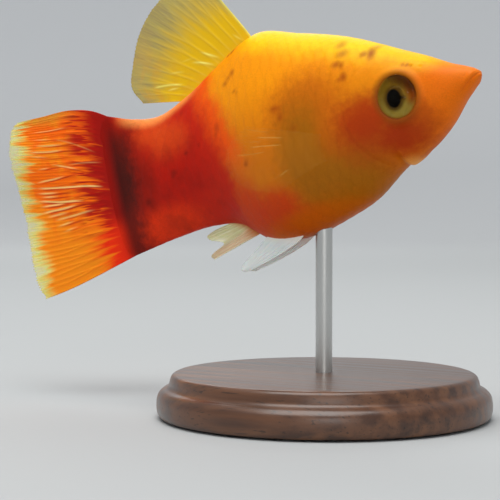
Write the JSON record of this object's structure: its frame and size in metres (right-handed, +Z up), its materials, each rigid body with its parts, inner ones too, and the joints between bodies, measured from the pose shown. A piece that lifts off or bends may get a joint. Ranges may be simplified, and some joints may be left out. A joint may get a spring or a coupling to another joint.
{
  "type": "platy fish",
  "caption": "Stocky orange and red aquarium fish as a still life-size model, nose raised, held over a round turned base by a slim rod.",
  "frame": {"origin": "centre of the stand's flat underside", "axes": "+X forward along the fish, +Y to the fish's left, +Z up"},
  "size_m": [0.0501, 0.03, 0.0401],
  "materials": {
    "head_skin": "wet satin skin, yellow over the nape, red on the cheek",
    "throat_skin": "thin pale membrane",
    "eye": "golden olive iris and black pupil under a clear cornea",
    "flank_skin": "fine scales, yellow back to olive amber belly, small dark spots",
    "tail_skin": "fine scales, deep red with a dark bar at the tail fin",
    "tail_fin": "orange membrane with pale rays and a clear margin",
    "dorsal_fin": "translucent yellow membrane with fine rays",
    "belly_fin": "translucent whitish membrane with pale rays",
    "pectoral_fin": "nearly clear membrane with faint pale rays",
    "stand_wood": "dark turned wood, satin lacquer",
    "stand_steel": "fine brushed"
  },
  "bodies": {
    "root": {"head": "head_skin", "gill_cover_left": "head_skin", "gill_cover_right": "head_skin", "gill_membrane": "throat_skin", "eye_left": "eye", "eye_right": "eye", "trunk": "flank_skin", "tail_stem": "tail_skin", "tail_fin": "tail_fin", "dorsal_fin": "dorsal_fin", "anal_fin": "belly_fin", "pectoral_fin_left": "pectoral_fin", "pectoral_fin_right": "pectoral_fin", "pelvic_fin_left": "belly_fin", "pelvic_fin_right": "belly_fin", "stand_base": "stand_wood", "stand_rod": "stand_steel"}
  },
  "joints": []
}
